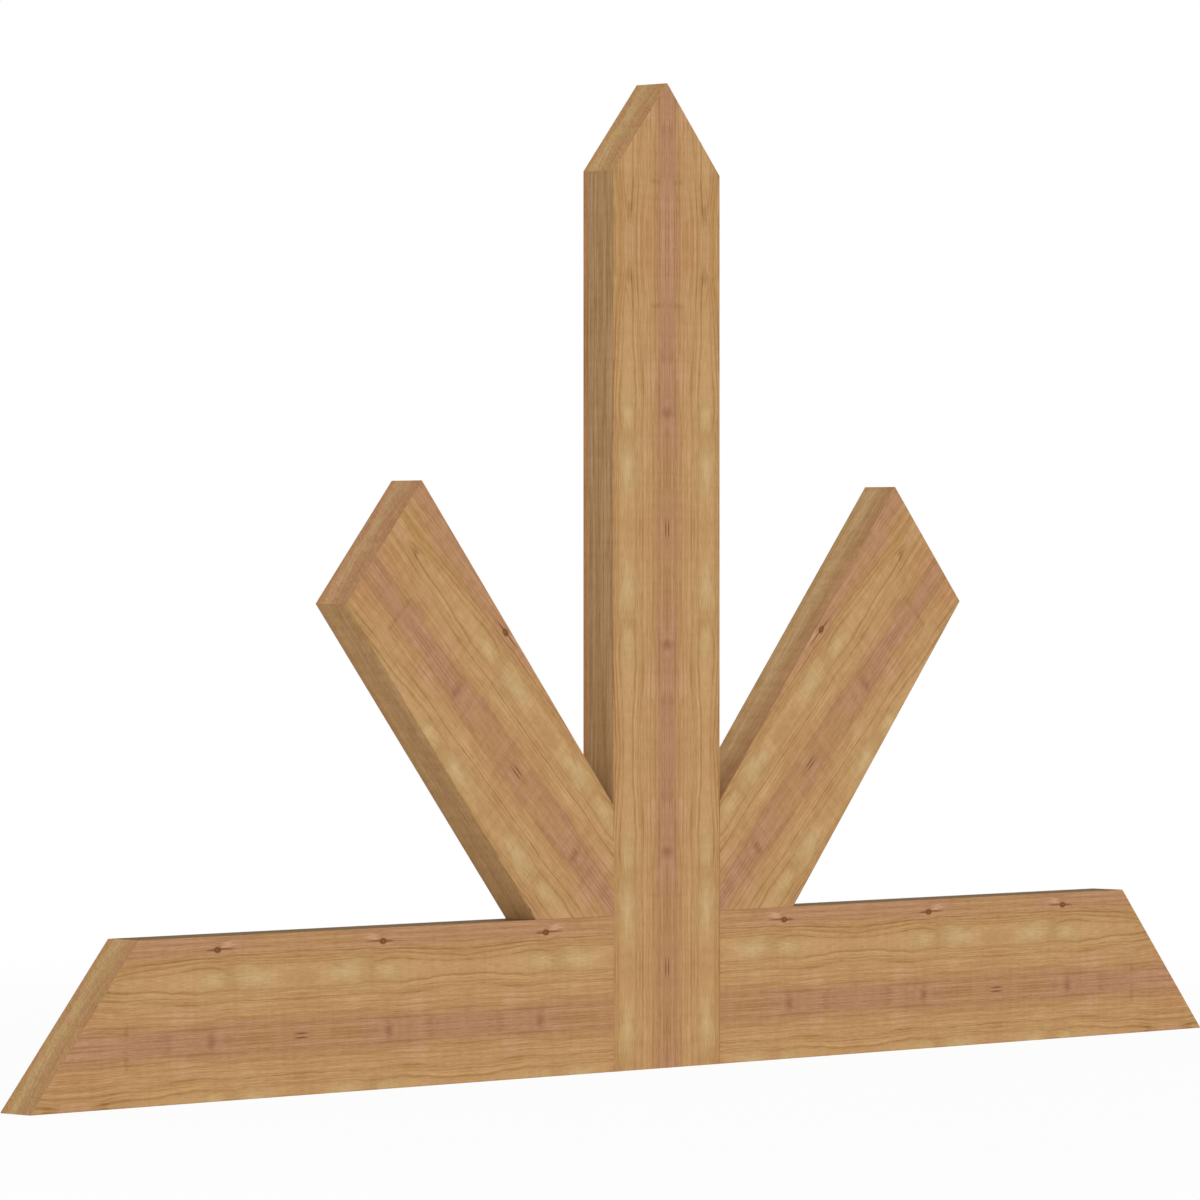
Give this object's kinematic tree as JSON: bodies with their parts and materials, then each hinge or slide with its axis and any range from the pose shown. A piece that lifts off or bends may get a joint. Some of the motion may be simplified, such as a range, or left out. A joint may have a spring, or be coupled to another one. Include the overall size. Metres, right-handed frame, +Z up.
{
  "type": "timber gable bracket",
  "caption": "Flat frame of planed cedar boards for the peak of a gable: a king post, a bottom chord and raking struts, with every free end sawn to the roof pitch.",
  "frame": {"origin": "middle of the bottom edge, half way through the boards' thickness", "axes": "+Z up along the king post, +X to the right along the bottom chord seen from the front, +Y into the wall, out of the back face"},
  "size_m": [1.524, 0.0382, 0.889],
  "materials": {
    "cedar": "planed, unfinished, matt"
  },
  "bodies": {
    "root": {"king_post": "cedar", "chord_arm_left": "cedar", "chord_arm_right": "cedar", "strut_left": "cedar", "strut_right": "cedar"}
  },
  "joints": []
}
